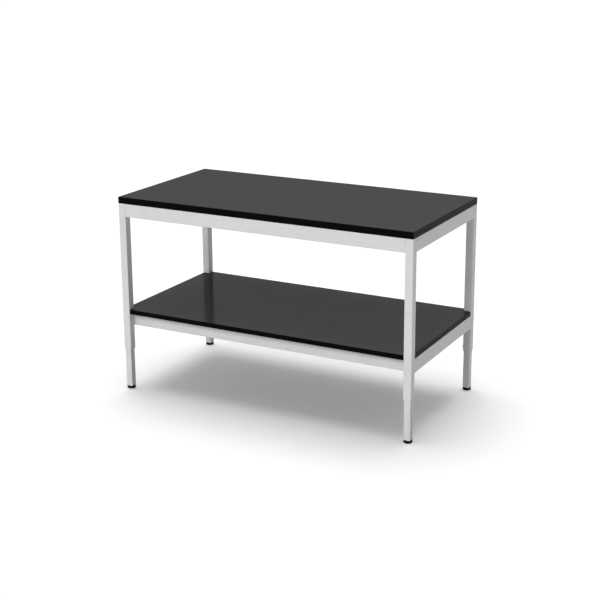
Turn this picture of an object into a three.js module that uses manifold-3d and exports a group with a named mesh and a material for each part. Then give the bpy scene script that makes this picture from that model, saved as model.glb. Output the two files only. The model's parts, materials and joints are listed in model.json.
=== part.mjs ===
// Laboratory balance table: a black board worktop and a lower shelf on a welded tube frame.
// Each leg is telescopic: an outer tube, a sliding extension, a clamp screw and a levelling foot.
// Millimetres, +Z up, front towards -Y, origin on the floor under the middle of the table.

import * as THREE from 'three';
import { mergeVertices } from 'three/addons/utils/BufferGeometryUtils.js';
import Module from 'manifold-3d';

const wasm = await Module();
wasm.setup();

// Welded frame: square leg tubes and rectangular rails, flush with each other outside
const frameLength = 1200;
const frameDepth = 600;
const legTubeSize = 30;
const legTubeWall = 1.5;
const legTubeRadius = 2;
const legTubeLength = 575;
const railHeight = 50;
const railWidth = 30;
const railWall = 1.5;
const railRadius = 2;
const lowerRailAboveTubeEnd = 93;

// Boards with glued edge bands, the shelf notched round the legs
const worktopThickness = 25;
const shelfThickness = 18;
const edgeBandThickness = 2;
const edgeBandRadius = 1;
const shelfInset = 3;
const shelfNotchClearance = 1;

// Gusset plates in the upper corners, which hold the worktop's screws
const plateSize = 70;
const plateTip = 12;
const plateThickness = 3;
const plateCornerGap = 8;
const plateHoleRadius = 2.75;
const plateHoleInset = 18;
const plateHoleEdgeDistance = 11;

// Leg extensions and the plastic guides between the two tubes
const legExtension = 150;
const extensionLength = 375;
const extensionWall = 1.5;
const extensionRadius = 1.5;
const guideGap = 1;
const guideSeatClearance = 0.1;
const guideSlideClearance = 0.2;
const guideBushLength = 60;
const guideBushAboveTubeEnd = 24;
const glideCapHeight = 8;
const spigotLength = 16;
const spigotWall = 2;
const spigotClearance = 0.15;

// Clamp screws in nuts welded to the leg tubes
const lockAboveTubeEnd = 14;
const lockNutAcrossFlats = 10;
const lockNutThickness = 5;
const lockScrewRadius = 3;
const lockScrewClearance = 0.3;
const lockScrewProud = 1.5;
const lockTipGap = 0.3;
const lockTipRadius = 2;
const lockTipLength = 1;
const lockSocketAcrossFlats = 3;
const lockSocketDepth = 3.5;

// Ribbed end plugs and levelling feet
const plugFlangeThickness = 2;
const plugLength = 20;
const plugFinCount = 5;
const plugFinThickness = 1.6;
const plugFinDepth = 1.2;
const studRadius = 4;
const studLength = 35;
const studChamfer = 1;
const studClearance = 0.3;
const padRadius = 16;
const padHeight = 8;
const padFloor = 2.5;
const padEdgeRadius = 2.5;
const padTopChamfer = 1;

// Facets
const cornerSegments = 3;
const roundSegments = 32;
const smallRoundSegments = 24;

// Sizes and heights that follow from the values above
const legBore = legTubeSize - 2 * legTubeWall;
const legBoreRadius = Math.max(legTubeRadius - legTubeWall, 0);
const extensionSize = legBore - 2 * guideGap;
const extensionBore = extensionSize - 2 * extensionWall;
const spigotSize = extensionBore - 2 * spigotClearance;
const extensionBottom = padHeight + plugFlangeThickness;
const tubeEnd = extensionBottom + legExtension;
const frameTop = tubeEnd + legTubeLength;
const lowerRailCentre = tubeEnd + lowerRailAboveTubeEnd + railHeight / 2;
const shelfUnderside = lowerRailCentre + railHeight / 2;
const cornerSize = Math.max(legTubeSize, railWidth);

const finishes = {
  board: new THREE.MeshStandardMaterial({ color: '#232323', roughness: 0.28, metalness: 0 }),
  edgeBand: new THREE.MeshStandardMaterial({ color: '#1b1b1b', roughness: 0.4, metalness: 0 }),
  powderCoat: new THREE.MeshStandardMaterial({ color: '#d2d3d3', roughness: 0.5, metalness: 0.1 }),
  zincSteel: new THREE.MeshStandardMaterial({ color: '#b4b7ba', roughness: 0.35, metalness: 1 }),
  nylon: new THREE.MeshStandardMaterial({ color: '#e6e3da', roughness: 0.55, metalness: 0 }),
  blackPlastic: new THREE.MeshStandardMaterial({ color: '#161616', roughness: 0.5, metalness: 0 }),
};

// Outlines

function roundedRectangle(width, height, radius) {
  const x = width / 2 - radius;
  const y = height / 2 - radius;
  const centres = [[x, y], [-x, y], [-x, -y], [x, -y]];
  if (radius === 0) return polygonOutline(centres);
  const outline = new THREE.Shape();
  centres.forEach((centre, quarter) => {
    const start = (quarter * Math.PI) / 2;
    outline.absarc(...centre, radius, start, start + Math.PI / 2, false);
  });
  return outline;
}

function polygonOutline(points) {
  return new THREE.Shape(points.map(([x, y]) => new THREE.Vector2(x, y)));
}

function hexagonOutline(acrossFlats) {
  const radius = acrossFlats / Math.sqrt(3);
  const corners = [0, 1, 2, 3, 4, 5].map((corner) => (corner * Math.PI) / 3);
  return polygonOutline(corners.map((angle) => [radius * Math.cos(angle), radius * Math.sin(angle)]));
}

// Solids along Z, from z = 0 upwards

function prism(outline, length, segments = cornerSegments) {
  return new THREE.ExtrudeGeometry(outline, {
    depth: length,
    bevelEnabled: false,
    curveSegments: segments,
  });
}

function squarePrism(size, radius, length) {
  return prism(roundedRectangle(size, size, radius), length);
}

function rod(radius, length, segments) {
  const geometry = new THREE.CylinderGeometry(radius, radius, length, segments);
  geometry.rotateX(Math.PI / 2);
  return geometry.translate(0, 0, length / 2);
}

// A drill that runs past both ends of a piece of the given length
function throughDrill(radius, length, x = 0, y = 0) {
  return rod(radius, 3 * length, smallRoundSegments).translate(x, y, -length);
}

// A turned solid about Z from [radius, height] points that run upwards along the outside
function turned(profile, segments) {
  const points = profile.map(([radius, height]) => new THREE.Vector2(radius, height));
  return new THREE.LatheGeometry(points, segments).rotateX(Math.PI / 2);
}

// Joins and cuts

function toSolid(geometry) {
  const bare = geometry.clone();
  bare.deleteAttribute('normal');
  bare.deleteAttribute('uv');
  const merged = mergeVertices(bare);
  const corners = merged.index.array;
  const triangles = [];
  for (let i = 0; i < corners.length; i += 3) {
    const [a, b, c] = corners.slice(i, i + 3);
    if (a !== b && b !== c && c !== a) triangles.push(a, b, c);
  }
  return new wasm.Manifold(new wasm.Mesh({
    numProp: 3,
    vertProperties: new Float32Array(merged.attributes.position.array),
    triVerts: new Uint32Array(triangles),
  }));
}

function toGeometry(solid) {
  const mesh = solid.getMesh();
  const geometry = new THREE.BufferGeometry();
  geometry.setAttribute('position', new THREE.BufferAttribute(mesh.vertProperties, 3));
  geometry.setIndex(new THREE.BufferAttribute(mesh.triVerts, 1));
  const faceted = geometry.toNonIndexed();
  faceted.computeVertexNormals();
  return faceted;
}

function joined(geometries) {
  const solids = geometries.map(toSolid);
  return toGeometry(solids.reduce((whole, piece) => whole.add(piece)));
}

function cut(geometry, tools) {
  const whole = toSolid(geometry);
  return toGeometry(tools.map(toSolid).reduce((rest, tool) => rest.subtract(tool), whole));
}

// A tube along Z whose bore runs right through
function bored(outline, bore, length) {
  const tool = prism(bore, 3 * length).translate(0, 0, -length);
  return cut(prism(outline, length), [tool]);
}

function tube(width, height, wall, radius, length) {
  const boreRadius = Math.max(radius - wall, 0);
  const outline = roundedRectangle(width, height, radius);
  const bore = roundedRectangle(width - 2 * wall, height - 2 * wall, boreRadius);
  return bored(outline, bore, length);
}

function addPiece(group, name, geometry, finish, position = [0, 0, 0]) {
  const mesh = new THREE.Mesh(geometry, finish);
  mesh.name = name;
  mesh.position.set(...position);
  group.add(mesh);
  return mesh;
}

// The four sides of the table. In a side's own group its outward direction is -Y.

const longSide = { long: true, length: frameLength, reach: frameDepth / 2 };
const shortSide = { long: false, length: frameDepth, reach: frameLength / 2 };
const sides = [
  { name: 'front', turn: 0, ...longSide },
  { name: 'right', turn: Math.PI / 2, ...shortSide },
  { name: 'rear', turn: Math.PI, ...longSide },
  { name: 'left', turn: -Math.PI / 2, ...shortSide },
];

function sideGroup(parent, side) {
  const group = new THREE.Group();
  group.rotation.z = side.turn;
  parent.add(group);
  return group;
}

// A straight piece along a side: its section's x runs inwards and its y upwards
function alongSide(geometry, length) {
  geometry.translate(0, 0, -length / 2);
  geometry.rotateY(Math.PI / 2);
  return geometry.rotateX(Math.PI / 2);
}

// Boards

function edgeBand(thickness, length) {
  const outline = new THREE.Shape();
  outline.moveTo(edgeBandThickness, 0);
  outline.lineTo(edgeBandThickness, thickness);
  outline.lineTo(edgeBandRadius, thickness);
  const upper = thickness - edgeBandRadius;
  outline.absarc(edgeBandRadius, upper, edgeBandRadius, Math.PI / 2, Math.PI, false);
  outline.lineTo(0, edgeBandRadius);
  outline.absarc(edgeBandRadius, edgeBandRadius, edgeBandRadius, Math.PI, 1.5 * Math.PI, false);
  return alongSide(prism(outline, length), length);
}

function makeWorktop() {
  const worktop = new THREE.Group();
  const coreLength = frameLength - 2 * edgeBandThickness;
  const coreDepth = frameDepth - 2 * edgeBandThickness;
  const core = new THREE.BoxGeometry(coreLength, coreDepth, worktopThickness);
  addPiece(worktop, 'worktop_board', core, finishes.board, [0, 0, frameTop + worktopThickness / 2]);
  for (const side of sides) {
    const band = edgeBand(worktopThickness, side.long ? frameLength : coreDepth);
    const place = [0, -side.reach, frameTop];
    const group = sideGroup(worktop, side);
    addPiece(group, `worktop_${side.name}_edge`, band, finishes.edgeBand, place);
  }
  return worktop;
}

function makeShelf() {
  const shelf = new THREE.Group();
  const notch = legTubeSize + shelfNotchClearance;
  const x = frameLength / 2 - shelfInset - edgeBandThickness;
  const y = frameDepth / 2 - shelfInset - edgeBandThickness;
  const notchX = frameLength / 2 - notch;
  const notchY = frameDepth / 2 - notch;
  const outline = polygonOutline([
    [x, -notchY], [x, notchY], [notchX, notchY],
    [notchX, y], [-notchX, y], [-notchX, notchY],
    [-x, notchY], [-x, -notchY], [-notchX, -notchY],
    [-notchX, -y], [notchX, -y], [notchX, -notchY],
  ]);
  addPiece(shelf, 'shelf_board', prism(outline, shelfThickness), finishes.board, [0, 0, shelfUnderside]);
  for (const side of sides) {
    const band = edgeBand(shelfThickness, side.length - 2 * notch);
    const place = [0, -side.reach + shelfInset, shelfUnderside];
    const group = sideGroup(shelf, side);
    addPiece(group, `shelf_${side.name}_edge`, band, finishes.edgeBand, place);
  }
  return shelf;
}

// Frame rails and corner plates

function rail(length) {
  return alongSide(tube(railWidth, railHeight, railWall, railRadius, length), length);
}

function makeRails() {
  const rails = new THREE.Group();
  for (const side of sides) {
    const group = sideGroup(rails, side);
    const upperLength = side.length - 2 * (side.long ? legTubeSize : cornerSize);
    const lowerLength = side.length - 2 * (side.long ? railWidth : legTubeSize);
    const lowerSetback = side.long ? legTubeSize : 0;
    const upperPlace = [0, -side.reach + railWidth / 2, frameTop - railHeight / 2];
    const lowerPlace = [0, -side.reach + lowerSetback + railWidth / 2, lowerRailCentre];
    addPiece(group, `${side.name}_upper_rail`, rail(upperLength), finishes.powderCoat, upperPlace);
    addPiece(group, `${side.name}_lower_rail`, rail(lowerLength), finishes.powderCoat, lowerPlace);
  }
  return rails;
}

// A blunt triangle whose square corner sits between two rails, with two screw holes
function cornerPlate(mirrorX, mirrorY) {
  const relief = plateCornerGap + 2 * (cornerSize - railWidth);
  const corners = [
    [relief, 0], [plateSize, 0], [plateSize, plateTip],
    [plateTip, plateSize], [0, plateSize], [0, relief],
  ];
  const outline = polygonOutline(corners.map(([x, y]) => [x * mirrorX, y * mirrorY]));
  const drills = plateHoles().map(([x, y]) => {
    return throughDrill(plateHoleRadius, plateThickness, x * mirrorX, y * mirrorY);
  });
  return cut(prism(outline, plateThickness), drills);
}

// Hole centres on a line that runs parallel to the plate's long edge
function plateHoles() {
  const holeFar = plateSize + plateTip - plateHoleEdgeDistance * Math.SQRT2 - plateHoleInset;
  return [[plateHoleInset, holeFar], [holeFar, plateHoleInset]];
}

// Telescopic leg, modelled round its own axis with the clamp screw on its +Y face

function legTube() {
  const body = tube(legTubeSize, legTubeSize, legTubeWall, legTubeRadius, legTubeLength);
  const holeRadius = lockScrewRadius + lockScrewClearance;
  const drill = rod(holeRadius, legTubeSize, smallRoundSegments).rotateX(-Math.PI / 2);
  return cut(body, [drill.translate(0, 0, lockAboveTubeEnd)]);
}

function guideBush() {
  const size = legBore - 2 * guideSeatClearance;
  const boreSize = extensionSize + 2 * guideSlideClearance;
  const outline = roundedRectangle(size, size, legBoreRadius + guideSeatClearance);
  return bored(outline, roundedRectangle(boreSize, boreSize, extensionRadius), guideBushLength);
}

// Cap that guides the top of the extension, with a hollow spigot down into the tube
function glideCap() {
  const capSize = legBore - 2 * guideSlideClearance;
  const cap = squarePrism(capSize, legBoreRadius + guideSlideClearance, glideCapHeight);
  const spigot = squarePrism(spigotSize, 0, spigotLength).translate(0, 0, -spigotLength);
  const pocketBottom = -2 * spigotLength;
  const pocketTop = glideCapHeight - spigotWall;
  const pocket = squarePrism(spigotSize - 2 * spigotWall, 0, pocketTop - pocketBottom);
  return cut(joined([cap, spigot]), [pocket.translate(0, 0, pocketBottom)]);
}

// Flanged insert whose fins grip the bore of the extension, with a hole for the foot's stud
function endPlug() {
  const flange = squarePrism(extensionSize, extensionRadius, plugFlangeThickness);
  const coreSize = spigotSize - 2 * plugFinDepth;
  const core = squarePrism(coreSize, 0, plugLength + plugFlangeThickness);
  const pieces = [flange, core];
  const finPitch = (plugLength - plugFinThickness) / plugFinCount;
  for (let fin = 1; fin <= plugFinCount; fin += 1) {
    const height = plugFlangeThickness + fin * finPitch;
    pieces.push(squarePrism(spigotSize, 0, plugFinThickness).translate(0, 0, height));
  }
  return cut(joined(pieces), [throughDrill(studRadius + studClearance, plugLength + plugFlangeThickness)]);
}

function footStud() {
  return turned([
    [0, 0], [studRadius, 0], [studRadius, studLength - studChamfer],
    [studRadius - studChamfer, studLength], [0, studLength],
  ], smallRoundSegments);
}

// Round pad with a rounded lower edge and a blind hole for the stud
function footPad() {
  const profile = [[0, 0]];
  for (let step = 0; step <= cornerSegments; step += 1) {
    const angle = (step / cornerSegments) * (Math.PI / 2);
    const radius = padRadius - padEdgeRadius * (1 - Math.sin(angle));
    profile.push([radius, padEdgeRadius * (1 - Math.cos(angle))]);
  }
  const holeRadius = studRadius + studClearance;
  profile.push([padRadius, padHeight - padTopChamfer]);
  profile.push([padRadius - padTopChamfer, padHeight]);
  profile.push([holeRadius, padHeight]);
  profile.push([holeRadius, padFloor]);
  profile.push([0, padFloor]);
  return turned(profile, roundSegments);
}

function lockNut() {
  const body = prism(hexagonOutline(lockNutAcrossFlats), lockNutThickness);
  return cut(body, [throughDrill(lockScrewRadius + lockScrewClearance, lockNutThickness)]);
}

// Headless screw from its tip beside the extension to its socket just outside the nut
function lockScrew() {
  const wallAndGap = (legTubeSize - extensionSize) / 2;
  const length = wallAndGap - lockTipGap + lockNutThickness + lockScrewProud;
  const body = turned([
    [0, 0], [lockTipRadius, 0], [lockScrewRadius, lockTipLength],
    [lockScrewRadius, length], [0, length],
  ], smallRoundSegments);
  const socket = prism(hexagonOutline(lockSocketAcrossFlats), 2 * lockSocketDepth);
  return cut(body, [socket.translate(0, 0, length - lockSocketDepth)]);
}

function makeLeg(leg) {
  const group = new THREE.Group();
  group.position.set(leg.x, leg.y, 0);
  group.rotation.z = leg.lockTurn;
  const extensionTop = extensionBottom + extensionLength;
  const add = (piece, geometry, finish, place) => {
    return addPiece(group, `${leg.name}_${piece}`, geometry, finish, place);
  };
  const extension = tube(extensionSize, extensionSize, extensionWall, extensionRadius, extensionLength);
  add('leg_tube', legTube(), finishes.powderCoat, [0, 0, tubeEnd]);
  add('leg_extension', extension, finishes.powderCoat, [0, 0, extensionBottom]);
  add('guide_bush', guideBush(), finishes.nylon, [0, 0, tubeEnd + guideBushAboveTubeEnd]);
  add('glide_cap', glideCap(), finishes.nylon, [0, 0, extensionTop]);
  add('end_plug', endPlug(), finishes.blackPlastic, [0, 0, padHeight]);
  add('foot_stud', footStud(), finishes.zincSteel, [0, 0, padFloor]);
  add('foot_pad', footPad(), finishes.blackPlastic, [0, 0, 0]);
  const lockHeight = tubeEnd + lockAboveTubeEnd;
  const nut = add('lock_nut', lockNut(), finishes.powderCoat, [0, legTubeSize / 2, lockHeight]);
  nut.rotation.x = -Math.PI / 2;
  const tipPlace = [0, extensionSize / 2 + lockTipGap, lockHeight];
  const screw = add('lock_screw', lockScrew(), finishes.zincSteel, tipPlace);
  screw.rotation.x = -Math.PI / 2;
  return group;
}

// The clamp screws face the inside of the table: backwards in front, and towards each other at the rear
const legX = (frameLength - legTubeSize) / 2;
const legY = (frameDepth - legTubeSize) / 2;
const legs = [
  { name: 'front_left', x: -legX, y: -legY, lockTurn: 0 },
  { name: 'front_right', x: legX, y: -legY, lockTurn: 0 },
  { name: 'rear_right', x: legX, y: legY, lockTurn: Math.PI / 2 },
  { name: 'rear_left', x: -legX, y: legY, lockTurn: -Math.PI / 2 },
];

const table = new THREE.Group();
table.add(makeWorktop());
table.add(makeShelf());
table.add(makeRails());
for (const leg of legs) {
  table.add(makeLeg(leg));
  const inX = -Math.sign(leg.x);
  const inY = -Math.sign(leg.y);
  const plateX = -inX * (frameLength / 2 - railWidth);
  const plateY = -inY * (frameDepth / 2 - railWidth);
  const platePlace = [plateX, plateY, frameTop - plateThickness];
  addPiece(table, `${leg.name}_corner_plate`, cornerPlate(inX, inY), finishes.powderCoat, platePlace);
}

export default table;
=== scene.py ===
import json
import math

import bmesh
import bpy
from mathutils import Matrix, Vector


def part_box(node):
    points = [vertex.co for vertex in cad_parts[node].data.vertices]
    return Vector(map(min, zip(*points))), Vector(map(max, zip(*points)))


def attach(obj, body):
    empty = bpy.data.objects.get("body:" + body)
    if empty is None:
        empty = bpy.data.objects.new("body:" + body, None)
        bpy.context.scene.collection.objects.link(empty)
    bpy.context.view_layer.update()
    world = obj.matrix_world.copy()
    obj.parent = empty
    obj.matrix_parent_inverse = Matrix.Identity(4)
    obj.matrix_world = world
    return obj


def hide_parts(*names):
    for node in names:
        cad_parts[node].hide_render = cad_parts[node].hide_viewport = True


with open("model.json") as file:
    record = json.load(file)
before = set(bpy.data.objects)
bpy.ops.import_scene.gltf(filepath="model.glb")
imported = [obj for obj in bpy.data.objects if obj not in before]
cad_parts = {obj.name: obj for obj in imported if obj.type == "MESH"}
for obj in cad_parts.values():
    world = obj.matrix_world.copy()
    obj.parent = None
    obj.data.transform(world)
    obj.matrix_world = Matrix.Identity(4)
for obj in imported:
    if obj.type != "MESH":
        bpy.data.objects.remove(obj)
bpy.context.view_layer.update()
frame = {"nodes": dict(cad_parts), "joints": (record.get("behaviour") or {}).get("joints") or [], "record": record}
nodes = frame["nodes"]
sideNames = ("front", "right", "rear", "left")
legNames = ("front_left", "front_right", "rear_right", "rear_left")
mm = 0.001
print("frame loaded:", len(nodes), "nodes")


# small helpers


def linear(hexColour):  # sRGB hex to the linear colour that a socket takes
    channels = [int(hexColour[i:i + 2], 16) / 255 for i in (1, 3, 5)]
    return [c / 12.92 if c <= 0.04045 else ((c + 0.055) / 1.055) ** 2.4 for c in channels] + [1.0]


def addNode(tree, kind, inputs=None, **settings):  # one node with its settings and inputs
    node = tree.nodes.new(kind)
    for name, value in settings.items():
        setattr(node, name, value)
    for socket, source in (inputs or {}).items():
        if isinstance(source, bpy.types.NodeSocket):
            tree.links.new(source, node.inputs[socket])
        else:
            node.inputs[socket].default_value = source
    return node


def perMetre(sizeMm):  # a texture's scale on Object coordinates from the size of one of its marks
    return 1 / (sizeMm * mm)


def newMaterial(name):  # a shader tree, its surface shader and its coordinates
    material = bpy.data.materials.new(name)
    material.use_nodes = True
    tree = material.node_tree
    tree.nodes.clear()
    shader = addNode(tree, "ShaderNodeBsdfPrincipled")
    addNode(tree, "ShaderNodeOutputMaterial", {"Surface": shader.outputs["BSDF"]})
    place = addNode(tree, "ShaderNodeTexCoord").outputs["Object"]
    return material, tree, shader, place


# materials

laminateLook = {
    "dark": "#272727", "light": "#2b2b2b",  # two shades of the printed black, a hair apart
    "roughness": (0.1, 0.15),
    "sheen": 0.059,  # share of light that it mirrors, held the same at all angles to match the photo
    "pebbleMm": 1.4,  # real pebbling is about 0.4 mm, drawn coarser so that it shows
    "pebbleHeightMm": 0.012,
    "pebbleStrength": 0.5,
    "wipeMm": 140,  # cloudy wiping marks
    "wipeBounds": (0.3, 0.7),  # stretch of the noise that the roughness follows
}


def makeLaminate():
    # Black melamine laminate, pressed on a satin plate: deep black, soft even mirror, faint pebbling.
    look = laminateLook
    material, tree, shader, place = newMaterial("black melamine laminate")
    clouds = addNode(tree, "ShaderNodeTexNoise", {
        "Vector": place, "Scale": perMetre(look["wipeMm"]), "Detail": 4.0})
    pebbles = addNode(tree, "ShaderNodeTexNoise", {
        "Vector": place, "Scale": perMetre(look["pebbleMm"]), "Detail": 2.0})
    shade = addNode(tree, "ShaderNodeMix", data_type="RGBA", inputs={
        "Factor": clouds.outputs["Fac"], 6: linear(look["dark"]), 7: linear(look["light"])})
    gloss = addNode(tree, "ShaderNodeMapRange", {
        "Value": clouds.outputs["Fac"],
        "From Min": look["wipeBounds"][0], "From Max": look["wipeBounds"][1],
        "To Min": look["roughness"][0], "To Max": look["roughness"][1]})
    relief = addNode(tree, "ShaderNodeBump", {
        "Height": pebbles.outputs["Fac"], "Distance": look["pebbleHeightMm"] * mm,
        "Strength": look["pebbleStrength"]})
    tree.links.new(shade.outputs[2], shader.inputs["Base Color"])
    tree.links.new(gloss.outputs["Result"], shader.inputs["Roughness"])
    tree.links.new(relief.outputs["Normal"], shader.inputs["Normal"])
    shader.inputs["Specular IOR Level"].default_value = 0.0
    lacquer = addNode(tree, "ShaderNodeBsdfGlossy", {
        "Roughness": gloss.outputs["Result"], "Normal": relief.outputs["Normal"]})
    both = addNode(tree, "ShaderNodeMixShader", {
        0: look["sheen"], 1: shader.outputs["BSDF"], 2: lacquer.outputs["BSDF"]})
    tree.links.new(both.outputs["Shader"], tree.nodes["Material Output"].inputs["Surface"])
    return material


edgeBandLook = {
    "dark": "#050505", "light": "#080808",
    "roughness": (0.24, 0.36),
    "specularLevel": 0.02,
    "scrapeMm": 6,  # long soft streaks that the trimming scraper leaves along the band
    "scrapeHeightMm": 0.01,
    "scrapeStrength": 0.4,
    "stretch": (0.1, 0.1, 1.0),  # draws the streaks out along the band
}


def makeEdgeBand():
    # Black ABS edge band, extruded and scraped flush: blacker than the laminate, streaked along its length.
    look = edgeBandLook
    material, tree, shader, place = newMaterial("black edge band")
    stretch = addNode(tree, "ShaderNodeMapping", {"Vector": place, "Scale": look["stretch"]})
    streaks = addNode(tree, "ShaderNodeTexNoise", {
        "Vector": stretch.outputs["Vector"], "Scale": perMetre(look["scrapeMm"]), "Detail": 3.0})
    shade = addNode(tree, "ShaderNodeMix", data_type="RGBA", inputs={
        "Factor": streaks.outputs["Fac"], 6: linear(look["dark"]), 7: linear(look["light"])})
    gloss = addNode(tree, "ShaderNodeMapRange", {
        "Value": streaks.outputs["Fac"], "To Min": look["roughness"][0], "To Max": look["roughness"][1]})
    relief = addNode(tree, "ShaderNodeBump", {
        "Height": streaks.outputs["Fac"], "Distance": look["scrapeHeightMm"] * mm,
        "Strength": look["scrapeStrength"]})
    tree.links.new(shade.outputs[2], shader.inputs["Base Color"])
    tree.links.new(gloss.outputs["Result"], shader.inputs["Roughness"])
    tree.links.new(relief.outputs["Normal"], shader.inputs["Normal"])
    shader.inputs["Specular IOR Level"].default_value = look["specularLevel"]
    return material


powderCoatLook = {
    "dark": "#cccdcd", "light": "#d2d2d2",  # light grey, slightly uneven where the spray lapped
    "roughness": (0.36, 0.46),
    "peelMm": 2.5,  # orange peel of baked powder, 1 to 2 mm, drawn a little coarser
    "peelHeightMm": 0.02,
    "peelStrength": 0.35,
    "specularLevel": 0.12,
    "grainMm": 0.5,  # fine sparkle of the grey pigment
    "grainShare": 0.35,  # weight of the grain beside the laps
    "lapMm": 90,
    "lapBounds": (0.3, 0.7),  # stretch of the laps that the roughness follows
    "shadeBounds": (0.45, 0.9),  # stretch of laps and grain that the shade follows
}


def makePowderCoat():
    # Light grey polyester powder coat baked on steel: even satin grey with a slight orange peel.
    look = powderCoatLook
    material, tree, shader, place = newMaterial("light grey powder coat")
    laps = addNode(tree, "ShaderNodeTexNoise", {
        "Vector": place, "Scale": perMetre(look["lapMm"]), "Detail": 3.0})
    grain = addNode(tree, "ShaderNodeTexNoise", {
        "Vector": place, "Scale": perMetre(look["grainMm"]), "Detail": 1.0})
    peel = addNode(tree, "ShaderNodeTexNoise", {
        "Vector": place, "Scale": perMetre(look["peelMm"]), "Detail": 2.0})
    uneven = addNode(tree, "ShaderNodeMath", operation="MULTIPLY_ADD", inputs={
        0: grain.outputs["Fac"], 1: look["grainShare"], 2: laps.outputs["Fac"]})
    level = addNode(tree, "ShaderNodeMapRange", {
        "Value": uneven.outputs["Value"],
        "From Min": look["shadeBounds"][0], "From Max": look["shadeBounds"][1]})
    shade = addNode(tree, "ShaderNodeMix", data_type="RGBA", inputs={
        "Factor": level.outputs["Result"], 6: linear(look["dark"]), 7: linear(look["light"])})
    gloss = addNode(tree, "ShaderNodeMapRange", {
        "Value": laps.outputs["Fac"],
        "From Min": look["lapBounds"][0], "From Max": look["lapBounds"][1],
        "To Min": look["roughness"][0], "To Max": look["roughness"][1]})
    relief = addNode(tree, "ShaderNodeBump", {
        "Height": peel.outputs["Fac"], "Distance": look["peelHeightMm"] * mm,
        "Strength": look["peelStrength"]})
    tree.links.new(shade.outputs[2], shader.inputs["Base Color"])
    tree.links.new(gloss.outputs["Result"], shader.inputs["Roughness"])
    tree.links.new(relief.outputs["Normal"], shader.inputs["Normal"])
    shader.inputs["Specular IOR Level"].default_value = look["specularLevel"]
    return material


zincLook = {
    "dark": "#a9adb2", "light": "#c9ccce",
    "roughness": (0.24, 0.42),
    "spangleMm": 1.2,  # cloudy patches of the plating bath
}


def makeZinc():
    # Bright zinc plate on turned steel: silvery, slightly blue, with cloudy patches.
    look = zincLook
    material, tree, shader, place = newMaterial("bright zinc plate")
    spangle = addNode(tree, "ShaderNodeTexNoise", {
        "Vector": place, "Scale": perMetre(look["spangleMm"]), "Detail": 3.0})
    shade = addNode(tree, "ShaderNodeMix", data_type="RGBA", inputs={
        "Factor": spangle.outputs["Fac"], 6: linear(look["dark"]), 7: linear(look["light"])})
    gloss = addNode(tree, "ShaderNodeMapRange", {
        "Value": spangle.outputs["Fac"], "To Min": look["roughness"][0], "To Max": look["roughness"][1]})
    tree.links.new(shade.outputs[2], shader.inputs["Base Color"])
    tree.links.new(gloss.outputs["Result"], shader.inputs["Roughness"])
    shader.inputs["Metallic"].default_value = 1.0
    return material


blackMouldedLook = {
    "dark": "#050505", "light": "#0a0a0a",
    "roughness": (0.42, 0.58),
    "specularLevel": 0.06,
    "grainMm": 0.9,  # spark-eroded mould texture, about 0.2 mm, drawn coarser so that it shows
    "grainHeightMm": 0.02,
    "grainStrength": 0.5,
}
nylonLook = {
    "dark": "#dcd8cc", "light": "#e8e5db",
    "roughness": (0.45, 0.6),
    "specularLevel": 0.3,
    "grainMm": 1.5,  # faint flow marks of the moulding
    "grainHeightMm": 0.01,
    "grainStrength": 0.5,
}


def makeMoulded(name, look):
    # Injection moulded plastic: matt from the mould's texture, with soft highlights on its rounded edges.
    material, tree, shader, place = newMaterial(name)
    grain = addNode(tree, "ShaderNodeTexNoise", {
        "Vector": place, "Scale": perMetre(look["grainMm"]), "Detail": 3.0})
    shade = addNode(tree, "ShaderNodeMix", data_type="RGBA", inputs={
        "Factor": grain.outputs["Fac"], 6: linear(look["dark"]), 7: linear(look["light"])})
    gloss = addNode(tree, "ShaderNodeMapRange", {
        "Value": grain.outputs["Fac"], "To Min": look["roughness"][0], "To Max": look["roughness"][1]})
    relief = addNode(tree, "ShaderNodeBump", {
        "Height": grain.outputs["Fac"], "Distance": look["grainHeightMm"] * mm,
        "Strength": look["grainStrength"]})
    tree.links.new(shade.outputs[2], shader.inputs["Base Color"])
    tree.links.new(gloss.outputs["Result"], shader.inputs["Roughness"])
    tree.links.new(relief.outputs["Normal"], shader.inputs["Normal"])
    shader.inputs["Specular IOR Level"].default_value = look["specularLevel"]
    return material


finishes = {
    "board": makeLaminate(),
    "edge_band": makeEdgeBand(),
    "powder_coat": makePowderCoat(),
    "zinc_steel": makeZinc(),
    "nylon": makeMoulded("natural nylon", nylonLook),
    "black_plastic": makeMoulded("black moulded polyamide", blackMouldedLook),
}
slotOfNode = {entry["node"]: entry["material_slot"] for entry in frame["record"]["subparts"]}
for nodeName, nodeObject in nodes.items():
    for materialSlot in nodeObject.material_slots:
        materialSlot.material = finishes[slotOfNode[nodeName]]
print("materials made:", len(finishes))


# meshes


def bodyOf(nodeName):
    bodies = frame["record"]["behaviour"]["bodies"]
    return next(body for body, members in bodies.items() if nodeName in members)


def holderFor(name, data):
    holder = bpy.data.objects.new(name, data)
    bpy.context.scene.collection.objects.link(holder)
    return holder


def plainMesh(holder):  # the holder with its modifiers worked in, as one plain mesh; the holder goes
    graph = bpy.context.evaluated_depsgraph_get()
    mesh = bpy.data.meshes.new_from_object(
        holder.evaluated_get(graph), preserve_all_data_layers=True, depsgraph=graph)
    bpy.data.objects.remove(holder)
    return mesh


def smoothed(mesh, sharpDegrees=40):  # round stretches shade smooth while flats stay flat
    mesh.shade_smooth()
    mesh.set_sharp_from_angle(angle=math.radians(sharpDegrees))
    holder = holderFor("smoothing", mesh)
    holder.modifiers.new("flats stay flat", "WEIGHTED_NORMAL").keep_sharp = True
    return plainMesh(holder)


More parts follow.
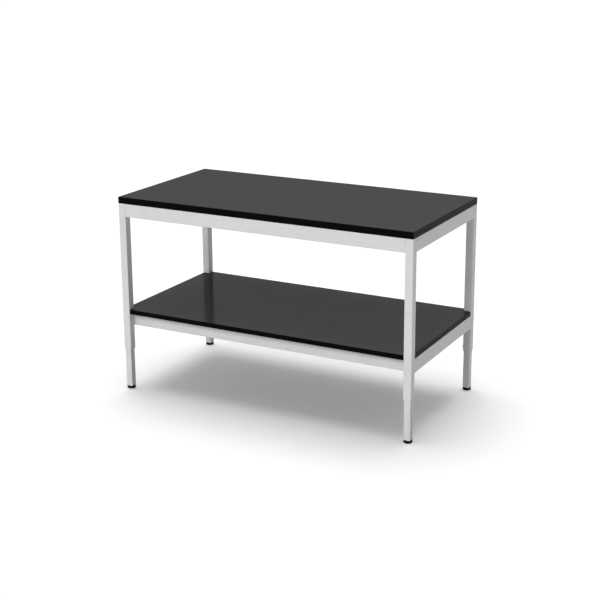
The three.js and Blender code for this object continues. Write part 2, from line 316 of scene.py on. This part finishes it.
def cutBy(mesh, cutter):  # one solid cut out of another
    holder = holderFor("cut piece", mesh)
    tool = holderFor("cutter", cutter)
    boolean = holder.modifiers.new("cut", "BOOLEAN")
    boolean.operation = "DIFFERENCE"
    boolean.solver = "EXACT"
    boolean.object = tool
    result = plainMesh(holder)
    bpy.data.objects.remove(tool)
    return result


def addPiece(name, mesh, body, slotName, replaced=()):
    mesh.materials.clear()
    mesh.materials.append(finishes[slotName])
    piece = holderFor(name, mesh)
    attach(piece, body)
    if replaced:
        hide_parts(*replaced)
    return piece


def meshFrom(name, shape):
    bmesh.ops.recalc_face_normals(shape, faces=shape.faces)
    mesh = bpy.data.meshes.new(name)
    shape.to_mesh(mesh)
    shape.free()
    return mesh


def roundedLoop(width, height, radius, segments):  # a rectangle with round corners, anticlockwise
    points = []
    for quarter, (sideX, sideY) in enumerate(((1, 1), (-1, 1), (-1, -1), (1, -1))):
        for step in range(segments + 1):
            angle = (quarter + step / segments) * math.pi / 2
            points.append((sideX * (width / 2 - radius) + radius * math.cos(angle),
                           sideY * (height / 2 - radius) + radius * math.sin(angle)))
    return points


def tubeMesh(name, low, high, wall, radius, innerRadius, bevel, segments):  # a hollow tube that fills a box
    size = high - low
    centre = (low + high) / 2
    along = max(range(3), key=lambda axis: size[axis])
    across, up = (along + 1) % 3, (along + 2) % 3
    outer = roundedLoop(size[across], size[up], radius, segments)
    mouth = roundedLoop(size[across] - 2 * bevel, size[up] - 2 * bevel, radius - bevel, segments)
    inner = roundedLoop(size[across] - 2 * wall, size[up] - 2 * wall, innerRadius, segments)
    first, last = low[along], high[along]
    shape = bmesh.new()
    rings = []
    for loop, end in ((mouth, first), (outer, first + bevel), (outer, last - bevel), (mouth, last),
                      (inner, last), (inner, first)):
        ring = []
        for a, b in loop:
            point = Vector()
            point[along], point[across], point[up] = end, centre[across] + a, centre[up] + b
            ring.append(shape.verts.new(point))
        rings.append(ring)
    count = len(outer)
    for near, far in zip(rings, rings[1:] + rings[:1]):
        for i in range(count):
            j = (i + 1) % count
            shape.faces.new((near[i], near[j], far[j], far[i]))
    return meshFrom(name, shape)


def turnedMesh(name, profile, centre, sides):  # (radius, height) points from axis to axis
    shape = bmesh.new()
    rings = []
    for radius, height in profile:
        turns = sides if radius > 0 else 1
        ring = [shape.verts.new((centre[0] + radius * math.cos(2 * math.pi * i / sides),
                                 centre[1] + radius * math.sin(2 * math.pi * i / sides),
                                 centre[2] + height)) for i in range(turns)]
        rings.append(ring)
    for near, far in zip(rings, rings[1:]):
        for i in range(sides):
            j = (i + 1) % sides
            corners = [near[i % len(near)], near[j % len(near)], far[j % len(far)], far[i % len(far)]]
            unique = list(dict.fromkeys(corners))
            shape.faces.new(unique)
    return meshFrom(name, shape)


# frame tubes

tubeSizes = {
    "wall": 1.5 * mm,
    "radius": 2.0 * mm,  # outside corner of cold-rolled tube
    "innerRadius": 0.6 * mm,
    "railBevel": 1.2 * mm,  # cut ends are ground back, which leaves a groove at each joint
    "legBevel": 0.4 * mm,
    "segments": 6,
    "extensionRadius": 1.5 * mm,
    "clampHole": 3.3 * mm,
    "drillSides": 24,
}


def boredForClamp(mesh, leg):  # the hole that the clamp screw passes through
    low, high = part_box(leg + "_lock_screw")
    centre = (low + high) / 2
    along = max(range(3), key=lambda axis: (high - low)[axis])
    toTube = Vector((0, 0, 0))
    toTube[along] = 1.0
    turn = Vector((0, 0, 1)).rotation_difference(toTube).to_matrix().to_4x4()
    reach, hole = (high - low)[along] / 2, tubeSizes["clampHole"]
    profile = [(0, -reach), (hole, -reach), (hole, reach), (0, reach)]
    drill = turnedMesh("drill", profile, (0, 0, 0), tubeSizes["drillSides"])
    drill.transform(Matrix.Translation(centre) @ turn)
    return cutBy(mesh, drill)


def makeTubes():
    rails = [f"{side}_{level}_rail" for side in sideNames for level in ("upper", "lower")]
    legTubes = [leg + "_leg_tube" for leg in legNames]
    extensions = [leg + "_leg_extension" for leg in legNames]
    for nodeName in rails + legTubes + extensions:
        radius = tubeSizes["extensionRadius" if nodeName in extensions else "radius"]
        low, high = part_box(nodeName)
        bevel = tubeSizes["railBevel" if nodeName in rails else "legBevel"]
        mesh = tubeMesh(nodeName + "_shell", low, high, tubeSizes["wall"], radius,
                        tubeSizes["innerRadius"], bevel, tubeSizes["segments"])
        if nodeName in legTubes:
            mesh = boredForClamp(mesh, nodeName.removesuffix("_leg_tube"))
        addPiece(nodeName + "_shell", smoothed(mesh), bodyOf(nodeName), "powder_coat", [nodeName])
    print("frame tubes made:", len(rails + legTubes + extensions))


makeTubes()


# edge bands

bandSizes = {"radius": 1.0 * mm, "segments": 6}


def bandMesh(name, low, high, side):  # a strip whose two outer edges are rounded over
    outward = {"front": (1, -1), "right": (0, 1), "rear": (1, 1), "left": (0, -1)}[side]
    across, sign = outward
    along = 1 - across
    radius = bandSizes["radius"]
    outer = high[across] if sign > 0 else low[across]
    inner = low[across] if sign > 0 else high[across]
    section = [(inner, low[2])]
    for centreZ, start in ((low[2] + radius, -90), (high[2] - radius, 0)):
        for step in range(bandSizes["segments"] + 1):
            angle = math.radians(start + 90 * step / bandSizes["segments"])
            edge = outer - sign * radius * (1 - math.cos(angle))
            section.append((edge, centreZ + radius * math.sin(angle)))
    section.append((inner, high[2]))
    shape = bmesh.new()
    ends = []
    for end in (low[along], high[along]):
        ring = []
        for a, z in section:
            point = Vector((0, 0, z))
            point[across], point[along] = a, end
            ring.append(shape.verts.new(point))
        shape.faces.new(ring)
        ends.append(ring)
    for i in range(len(section)):
        j = (i + 1) % len(section)
        shape.faces.new((ends[0][i], ends[0][j], ends[1][j], ends[1][i]))
    return meshFrom(name, shape)


def makeBands():
    for board in ("worktop", "shelf"):
        for side in sideNames:
            nodeName = f"{board}_{side}_edge"
            mesh = bandMesh(nodeName + "_band", *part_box(nodeName), side)
            addPiece(nodeName + "_band", smoothed(mesh), bodyOf(nodeName), "edge_band", [nodeName])
    print("edge bands made:", 2 * len(sideNames))


makeBands()


# levelling feet

padSizes = {
    "floor": 2.3 * mm,  # leaves a hair of space under the stud
    "edgeRadius": 2.5 * mm,
    "topRadius": 1.0 * mm,
    "hole": 4.3 * mm,
    "sides": 64,
    "segments": 6,
}


def padProfile(radius, height):
    sizes = padSizes
    edge, top = sizes["edgeRadius"], sizes["topRadius"]
    points = [(0, 0)]
    for step in range(sizes["segments"] + 1):
        angle = math.radians(-90 + 90 * step / sizes["segments"])
        points.append((radius - edge + edge * math.cos(angle), edge + edge * math.sin(angle)))
    for step in range(sizes["segments"] + 1):
        angle = math.radians(90 * step / sizes["segments"])
        points.append((radius - top + top * math.cos(angle), height - top + top * math.sin(angle)))
    return points + [(sizes["hole"], height), (sizes["hole"], sizes["floor"]), (0, sizes["floor"])]


def makePads():
    for leg in legNames:
        nodeName = leg + "_foot_pad"
        low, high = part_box(nodeName)
        centre = ((low.x + high.x) / 2, (low.y + high.y) / 2, low.z)
        profile = padProfile((high.x - low.x) / 2, high.z - low.z)
        mesh = turnedMesh(nodeName + "_moulding", profile, centre, padSizes["sides"])
        addPiece(nodeName + "_moulding", smoothed(mesh), bodyOf(nodeName), "black_plastic", [nodeName])
    print("foot pads made:", len(legNames))


makePads()


# threads, by Geometry Nodes


def newTree(name, sizes):  # geometry in and out, and a named input for each size
    tree = bpy.data.node_groups.new(name, "GeometryNodeTree")
    tree.interface.new_socket("Geometry", in_out="INPUT", socket_type="NodeSocketGeometry")
    for label, kind in sizes.items():
        tree.interface.new_socket(label, in_out="INPUT", socket_type=kind)
    tree.interface.new_socket("Geometry", in_out="OUTPUT", socket_type="NodeSocketGeometry")
    return tree, addNode(tree, "NodeGroupInput")


def endTree(tree, geometry, source):
    realized = addNode(tree, "GeometryNodeRealizeInstances", {"Geometry": geometry})
    painted = addNode(tree, "GeometryNodeSetMaterial", {
        "Geometry": realized.outputs["Geometry"], "Material": source.outputs["Material"]})
    addNode(tree, "NodeGroupOutput", {"Geometry": painted.outputs["Geometry"]})


def runTree(name, tree, start, sizes):  # the tree's result on a starting mesh, as a plain mesh
    holder = holderFor(name, start)
    modifier = holder.modifiers.new(tree.name, "NODES")
    modifier.node_group = tree
    for item in tree.interface.items_tree:
        if item.in_out == "INPUT" and item.name in sizes:
            modifier[item.identifier] = sizes[item.name]
    return plainMesh(holder)


threadSizes = {
    "stud": {"Pitch": 1.25 * mm, "Depth": 0.7 * mm, "Sides": 32},
    "clamp": {"Pitch": 1.0 * mm, "Depth": 0.55 * mm, "Sides": 24},
    "rowsPerPitch": 8,
    "crest": (0.06, 0.44),  # the ridge is cut off below and above, which leaves a flat root and crest
    "smoothDegrees": 60,
    "socketAcrossFlats": 3.0 * mm,
    "socketDepth": 3.5 * mm,
}


def makeThreadTree():  # a rod along Z whose surface rises and falls along a right-hand helix
    tree, source = newTree("screw thread", {
        "Radius": "NodeSocketFloat", "Depth": "NodeSocketFloat", "Pitch": "NodeSocketFloat",
        "Length": "NodeSocketFloat", "Sides": "NodeSocketInt", "Rows": "NodeSocketInt",
        "Material": "NodeSocketMaterial"})
    value = source.outputs
    rod = addNode(tree, "GeometryNodeMeshCylinder", fill_type="NGON", inputs={
        "Vertices": value["Sides"], "Side Segments": value["Rows"],
        "Radius": value["Radius"], "Depth": value["Length"]})
    at = addNode(tree, "ShaderNodeSeparateXYZ", {
        "Vector": addNode(tree, "GeometryNodeInputPosition").outputs["Position"]}).outputs
    angle = addNode(tree, "ShaderNodeMath", operation="ARCTAN2", inputs={
        0: at["Y"], 1: at["X"]}).outputs["Value"]
    turn = addNode(tree, "ShaderNodeMath", operation="DIVIDE", inputs={
        0: angle, 1: 2 * math.pi}).outputs["Value"]
    rise = addNode(tree, "ShaderNodeMath", operation="DIVIDE", inputs={
        0: at["Z"], 1: value["Pitch"]}).outputs["Value"]
    helix = addNode(tree, "ShaderNodeMath", operation="SUBTRACT", inputs={
        0: rise, 1: turn}).outputs["Value"]
    ridge = addNode(tree, "ShaderNodeMath", operation="PINGPONG", inputs={
        0: helix, 1: 0.5}).outputs["Value"]  # up and down once in each turn
    crest = addNode(tree, "ShaderNodeMapRange", {
        "Value": ridge, "From Min": threadSizes["crest"][0],
        "From Max": threadSizes["crest"][1]}).outputs["Result"]
    fromMiddle = addNode(tree, "ShaderNodeMath", operation="ABSOLUTE", inputs={0: at["Z"]}).outputs["Value"]
    fromEnd = addNode(tree, "ShaderNodeMath", operation="MULTIPLY_ADD", inputs={
        0: fromMiddle, 1: -2.0, 2: value["Length"]}).outputs["Value"]
    fade = addNode(tree, "ShaderNodeMapRange", {
        "Value": fromEnd, "From Min": 0.0, "From Max": value["Pitch"]}).outputs["Result"]
    height = addNode(tree, "ShaderNodeMath", operation="MULTIPLY", inputs={
        0: crest, 1: fade}).outputs["Value"]
    core = addNode(tree, "ShaderNodeMath", operation="SUBTRACT", inputs={
        0: value["Radius"], 1: value["Depth"]}).outputs["Value"]
    radius = addNode(tree, "ShaderNodeMath", operation="MULTIPLY_ADD", inputs={
        0: height, 1: value["Depth"], 2: core}).outputs["Value"]
    share = addNode(tree, "ShaderNodeMath", operation="DIVIDE", inputs={
        0: radius, 1: value["Radius"]}).outputs["Value"]
    scale = addNode(tree, "ShaderNodeCombineXYZ", {"X": share, "Y": share, "Z": 1.0}).outputs["Vector"]
    moved = addNode(tree, "ShaderNodeVectorMath", operation="MULTIPLY", inputs={
        0: addNode(tree, "GeometryNodeInputPosition").outputs["Position"], 1: scale}).outputs["Vector"]
    shaped = addNode(tree, "GeometryNodeSetPosition", {"Geometry": rod.outputs["Mesh"], "Position": moved})
    endTree(tree, shaped.outputs["Geometry"], source)
    return tree


def threadedRod(name, tree, radius, length, sizes):
    rows = round(length / sizes["Pitch"] * threadSizes["rowsPerPitch"])
    return runTree(name, tree, bpy.data.meshes.new(name), {
        **sizes, "Radius": radius, "Length": length, "Rows": rows, "Material": finishes["zinc_steel"]})


def makeThreads():
    tree = makeThreadTree()
    for leg in legNames:
        nodeName = leg + "_foot_stud"
        low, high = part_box(nodeName)
        radius = (high.x - low.x) / 2
        mesh = threadedRod(nodeName + "_thread", tree, radius, high.z - low.z, threadSizes["stud"])
        mesh.transform(Matrix.Translation((low + high) / 2))
        mesh = smoothed(mesh, threadSizes["smoothDegrees"])
        addPiece(nodeName + "_thread", mesh, bodyOf(nodeName), "zinc_steel", [nodeName])

        nodeName = leg + "_lock_screw"
        low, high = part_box(nodeName)
        axis = Vector(next(j["axis"] for j in frame["joints"] if j["child"] == bodyOf(nodeName)))
        length = abs((high - low).dot(axis))
        radius = (high.z - low.z) / 2
        mesh = threadedRod(nodeName + "_thread", tree, radius, length, threadSizes["clamp"])
        depth = threadSizes["socketDepth"]
        corner = threadSizes["socketAcrossFlats"] / math.sqrt(3)
        profile = [(0, -depth), (corner, -depth), (corner, depth), (0, depth)]
        mesh = cutBy(mesh, turnedMesh("socket", profile, (0, 0, length / 2), 6))
        turn = Vector((0, 0, 1)).rotation_difference(axis).to_matrix().to_4x4()
        mesh.transform(Matrix.Translation((low + high) / 2) @ turn)
        mesh = smoothed(mesh, threadSizes["smoothDegrees"])
        addPiece(nodeName + "_thread", mesh, bodyOf(nodeName), "zinc_steel", [nodeName])
    print("threads made:", 2 * len(legNames))


makeThreads()


# screws that hold the worktop, by Geometry Nodes

plateScrewSizes = {
    "inputs": {
        "Head Radius": 5.0 * mm, "Head Height": 2.6 * mm, "Recess": 4.2 * mm, "Recess Width": 1.1 * mm},
    "rimShare": 0.68,  # top of the pan head against its seat
    "headSides": 28,
    "smoothDegrees": 30,
    "inset": 18 * mm, "edgeDistance": 11 * mm, "tip": 12 * mm,  # places of the holes in a corner plate
}


def makeScrewTree():  # a pan head with a cross recess, facing down, on each point
    tree, source = newTree("worktop screws", {
        **{label: "NodeSocketFloat" for label in plateScrewSizes["inputs"]},
        "Material": "NodeSocketMaterial"})
    value = source.outputs
    rim = addNode(tree, "ShaderNodeMath", operation="MULTIPLY", inputs={
        0: value["Head Radius"], 1: plateScrewSizes["rimShare"]}).outputs["Value"]
    head = addNode(tree, "GeometryNodeMeshCone", fill_type="NGON", inputs={
        "Vertices": plateScrewSizes["headSides"], "Side Segments": 1, "Radius Top": rim,
        "Radius Bottom": value["Head Radius"], "Depth": value["Head Height"]})
    bars = []
    for first, second in (("Recess", "Recess Width"), ("Recess Width", "Recess")):
        size = addNode(tree, "ShaderNodeCombineXYZ", {
            "X": value[first], "Y": value[second], "Z": value["Head Height"]})
        bar = addNode(tree, "GeometryNodeMeshCube", {"Size": size.outputs["Vector"]})
        lift = addNode(tree, "ShaderNodeCombineXYZ", {"Z": value["Head Height"]})
        bars.append(addNode(tree, "GeometryNodeTransform", {
            "Geometry": bar.outputs["Mesh"], "Translation": lift.outputs["Vector"]}).outputs["Geometry"])
    cut = addNode(tree, "GeometryNodeMeshBoolean", {"Mesh 1": head.outputs["Mesh"]}, operation="DIFFERENCE")
    for bar in bars:
        tree.links.new(bar, cut.inputs["Mesh 2"])
    facing = addNode(tree, "GeometryNodeTransform", {
        "Geometry": cut.outputs["Mesh"], "Rotation": (math.pi, 0, 0)})
    heads = addNode(tree, "GeometryNodeInstanceOnPoints", {
        "Points": source.outputs["Geometry"], "Instance": facing.outputs["Geometry"]})
    endTree(tree, heads.outputs["Instances"], source)
    return tree


def makePlateScrews():
    sizes = plateScrewSizes
    centres = []
    for leg in legNames:
        low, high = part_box(leg + "_corner_plate")
        corner = Vector((max(low.x, high.x, key=abs), max(low.y, high.y, key=abs), low.z))
        inX, inY = -math.copysign(1, corner.x), -math.copysign(1, corner.y)
        far = high.x - low.x + sizes["tip"] - sizes["edgeDistance"] * math.sqrt(2) - sizes["inset"]
        for x, y in ((sizes["inset"], far), (far, sizes["inset"])):
            centres.append(corner + Vector((x * inX, y * inY, 0)))
    points = bpy.data.meshes.new("screw places")
    points.from_pydata(centres, [], [])
    mesh = runTree("worktop_screws", makeScrewTree(), points, {
        **sizes["inputs"], "Material": finishes["zinc_steel"]})
    addPiece("worktop_screws", smoothed(mesh, sizes["smoothDegrees"]), "frame", "zinc_steel")
    print("worktop screws made:", len(centres))


makePlateScrews()


# weld beads under the rails and in the corners, by Geometry Nodes

weldSizes = {
    "inputs": {"Bead Radius": 1.3 * mm, "Ripple": 1.1 * mm, "Unevenness": 0.1, "Seed": 7},
    "inset": 3 * mm,  # from the tube's corner to the end of a seam
    "smoothDegrees": 70,
}


def makeWeldTree():  # a row of overlapping ripples along each edge of the starting mesh
    tree, source = newTree("weld beads", {
        "Bead Radius": "NodeSocketFloat", "Ripple": "NodeSocketFloat", "Unevenness": "NodeSocketFloat",
        "Seed": "NodeSocketInt", "Material": "NodeSocketMaterial"})
    value = source.outputs
    seams = addNode(tree, "GeometryNodeMeshToCurve", {"Mesh": value["Geometry"]})
    steps = addNode(tree, "GeometryNodeResampleCurve", mode="LENGTH", inputs={
        "Curve": seams.outputs["Curve"], "Length": value["Ripple"]})
    ripple = addNode(tree, "GeometryNodeMeshIcoSphere", {"Radius": value["Bead Radius"], "Subdivisions": 2})
    least = addNode(tree, "ShaderNodeMath", operation="SUBTRACT", inputs={0: 1.0, 1: value["Unevenness"]})
    most = addNode(tree, "ShaderNodeMath", operation="ADD", inputs={0: 1.0, 1: value["Unevenness"]})
    uneven = addNode(tree, "FunctionNodeRandomValue", data_type="FLOAT", inputs={
        2: least.outputs["Value"], 3: most.outputs["Value"], "Seed": value["Seed"]})
    beads = addNode(tree, "GeometryNodeInstanceOnPoints", {
        "Points": steps.outputs["Curve"], "Instance": ripple.outputs["Mesh"], "Scale": uneven.outputs[1]})
    endTree(tree, beads.outputs["Instances"], source)
    return tree


def weldSeams():  # the two ends of each seam
    seams = []
    inset = weldSizes["inset"]
    for side in sideNames:
        across = 1 if side in ("front", "rear") else 0
        along = 1 - across
        for level in ("upper", "lower"):
            low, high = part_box(f"{side}_{level}_rail")
            centre = (low + high) / 2
            for end in (low[along], high[along]):
                near, far = Vector((0, 0, low.z)), Vector((0, 0, low.z))
                near[along] = far[along] = end
                if level == "lower" and across == 1:  # the long lower rails butt against the end rails
                    inner = low[across] if centre[across] > 0 else high[across]
                    near[across] = far[across] = inner
                    near.z, far.z = low.z + inset, high.z - inset
                else:
                    near[across], far[across] = low[across] + inset, high[across] - inset
                seams.append((near, far))
    return seams


def makeWelds():
    seams = weldSeams()
    lines = bpy.data.meshes.new("weld lines")
    pairs = [(2 * i, 2 * i + 1) for i in range(len(seams))]
    lines.from_pydata([end for seam in seams for end in seam], pairs, [])
    mesh = runTree("weld_beads", makeWeldTree(), lines, {
        **weldSizes["inputs"], "Material": finishes["powder_coat"]})
    addPiece("weld_beads", smoothed(mesh, weldSizes["smoothDegrees"]), "frame", "powder_coat")
    print("weld seams made:", len(seams))


makeWelds()


# floor, light and camera

floorLook = {
    "colour": "#f8f8f8",
    "lift": 0.2,  # glow that only the camera sees, which brings the open floor to white
    "normal": (-0.08, 0.57, 0.818),  # shaded as if it leaned back, so the front light spares the shadow
    "size": 60,
    "below": 0.2 * mm,
}


def seenDirectly(tree):  # 1 for what the camera sees, straight, mirrored or through glass
    rays = addNode(tree, "ShaderNodeLightPath").outputs
    straight = addNode(tree, "ShaderNodeMath", operation="MAXIMUM", inputs={
        0: rays["Is Camera Ray"], 1: rays["Is Glossy Ray"]}).outputs["Value"]
    return addNode(tree, "ShaderNodeMath", operation="MAXIMUM", inputs={
        0: straight, 1: rays["Is Transmission Ray"]}).outputs["Value"]


def makeFloor():
    # A plain pale floor that reads as white where nothing shades it, and keeps the soft shadow.
    material = bpy.data.materials.new("pale studio floor")
    material.use_nodes = True
    tree = material.node_tree
    tree.nodes.clear()
    strength = addNode(tree, "ShaderNodeMath", operation="MULTIPLY", inputs={
        0: seenDirectly(tree), 1: floorLook["lift"]})
    lift = addNode(tree, "ShaderNodeEmission", {"Strength": strength.outputs["Value"]})
    lean = addNode(tree, "ShaderNodeCombineXYZ", dict(zip("XYZ", floorLook["normal"])))
    paint = addNode(tree, "ShaderNodeBsdfDiffuse", {
        "Color": linear(floorLook["colour"]), "Normal": lean.outputs["Vector"]})
    both = addNode(tree, "ShaderNodeAddShader", {0: paint.outputs["BSDF"], 1: lift.outputs["Emission"]})
    addNode(tree, "ShaderNodeOutputMaterial", {"Surface": both.outputs["Shader"]})
    half = floorLook["size"] / 2
    mesh = bpy.data.meshes.new("floor")
    corners = [(-half, -half), (half, -half), (half, half), (-half, half)]
    mesh.from_pydata([(x, y, -floorLook["below"]) for x, y in corners], [], [(0, 1, 2, 3)])
    mesh.materials.append(material)
    holderFor("floor", mesh)


lights = {
    "room": {"axis": (-0.3, -0.25, 0.92), "base": 0.16, "gain": 0.4},  # brightest overhead, front left
    "overhead": {"azimuth": -125, "elevation": 82, "strength": 2.2, "spread": 46},
    "front": {"azimuth": -6, "elevation": 34, "strength": 1.5, "spread": 24},
}


def towards(look):  # unit vector from degrees round from the front and up from level
    azimuth, elevation = math.radians(look["azimuth"]), math.radians(look["elevation"])
    level = math.cos(elevation)
    return Vector((math.sin(azimuth) * level, -math.cos(azimuth) * level, math.sin(elevation)))


def makeLights():
    world = bpy.data.worlds.new("studio room")
    world.use_nodes = True
    tree = world.node_tree
    room = lights["room"]
    direction = addNode(tree, "ShaderNodeTexCoord").outputs["Generated"]
    height = addNode(tree, "ShaderNodeVectorMath", operation="DOT_PRODUCT", inputs={
        0: direction, 1: room["axis"]})
    above = addNode(tree, "ShaderNodeMath", operation="MAXIMUM", inputs={
        0: height.outputs["Value"], 1: 0.0})
    level = addNode(tree, "ShaderNodeMath", operation="MULTIPLY_ADD", inputs={
        0: above.outputs["Value"], 1: room["gain"], 2: room["base"]})
    shown = addNode(tree, "ShaderNodeMix", data_type="FLOAT", inputs={
        0: seenDirectly(tree), 2: level.outputs["Value"], 3: 1.0})
    backdrop = tree.nodes["Background"]
    backdrop.inputs["Color"].default_value = linear("#ffffff")
    tree.links.new(shown.outputs[0], backdrop.inputs["Strength"])
    bpy.context.scene.world = world
    for name in ("overhead", "front"):
        look = lights[name]
        lamp = bpy.data.lights.new(name + " softbox", "SUN")
        lamp.energy = look["strength"]
        lamp.angle = math.radians(look["spread"])
        holder = holderFor(name + " softbox", lamp)
        holder.rotation_euler = towards(look).to_track_quat("Z", "Y").to_euler()


photoView = {
    "azimuth": 26.92, "elevation": 14.76,  # degrees from the front and above level
    "distance": 4.74519,
    "aim": (0.12094, -0.17936),  # right and up from the middle of the worktop
    "focal": 1271.44, "principal": (330, 245), "pixels": 600,  # in pixels of the photo
    "clipEnd": 200,
}


def makeCamera():
    view = photoView
    azimuth = math.radians(view["azimuth"])
    back = towards(view)
    right = Vector((math.cos(azimuth), math.sin(azimuth), 0))
    up = back.cross(right)
    worktopTop = Vector((0, 0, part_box("worktop_board")[1].z))
    lens = bpy.data.cameras.new("photo view")
    lens.lens = view["focal"] / view["pixels"] * lens.sensor_width
    lens.shift_x = (view["pixels"] / 2 - view["principal"][0]) / view["pixels"]
    lens.shift_y = (view["principal"][1] - view["pixels"] / 2) / view["pixels"]
    lens.clip_end = view["clipEnd"]
    camera = holderFor("photo view", lens)
    turn = Matrix((right, up, back)).transposed().to_4x4()
    place = worktopTop + back * view["distance"] + right * view["aim"][0] + up * view["aim"][1]
    camera.matrix_world = Matrix.Translation(place) @ turn
    bpy.context.scene.camera = camera


makeFloor()
makeLights()
makeCamera()
bpy.context.scene.view_settings.view_transform = "Standard"
print("stage set")
